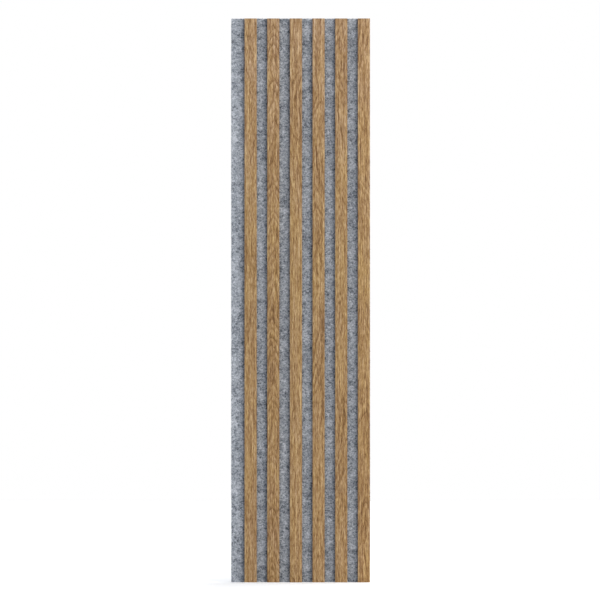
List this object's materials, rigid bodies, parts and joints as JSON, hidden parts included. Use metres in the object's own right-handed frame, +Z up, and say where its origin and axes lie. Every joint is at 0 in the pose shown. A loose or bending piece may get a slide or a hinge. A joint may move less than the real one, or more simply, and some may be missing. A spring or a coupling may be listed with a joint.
{
  "type": "slatted acoustic wall panel",
  "caption": "Upright wall panel of parallel oak-finish slats stapled to a grey felt board, fixed flat to a wall for decoration and sound absorption.",
  "frame": {"origin": "centre of the felt's back face, on the wall", "axes": "+Z up along the slats, +X to the right seen from the room, +Y out of the back into the wall"},
  "size_m": [0.3, 0.022, 1.22],
  "materials": {
    "felt": "mottled blue-grey pressed felt",
    "oak": "matt natural oak",
    "staple_wire": "galvanised wire"
  },
  "bodies": {
    "root": {"felt_backing": "felt", "slat_1": "oak", "slat_2": "oak", "slat_3": "oak", "slat_4": "oak", "slat_5": "oak", "slat_6": "oak", "staples": "staple_wire"}
  },
  "joints": []
}
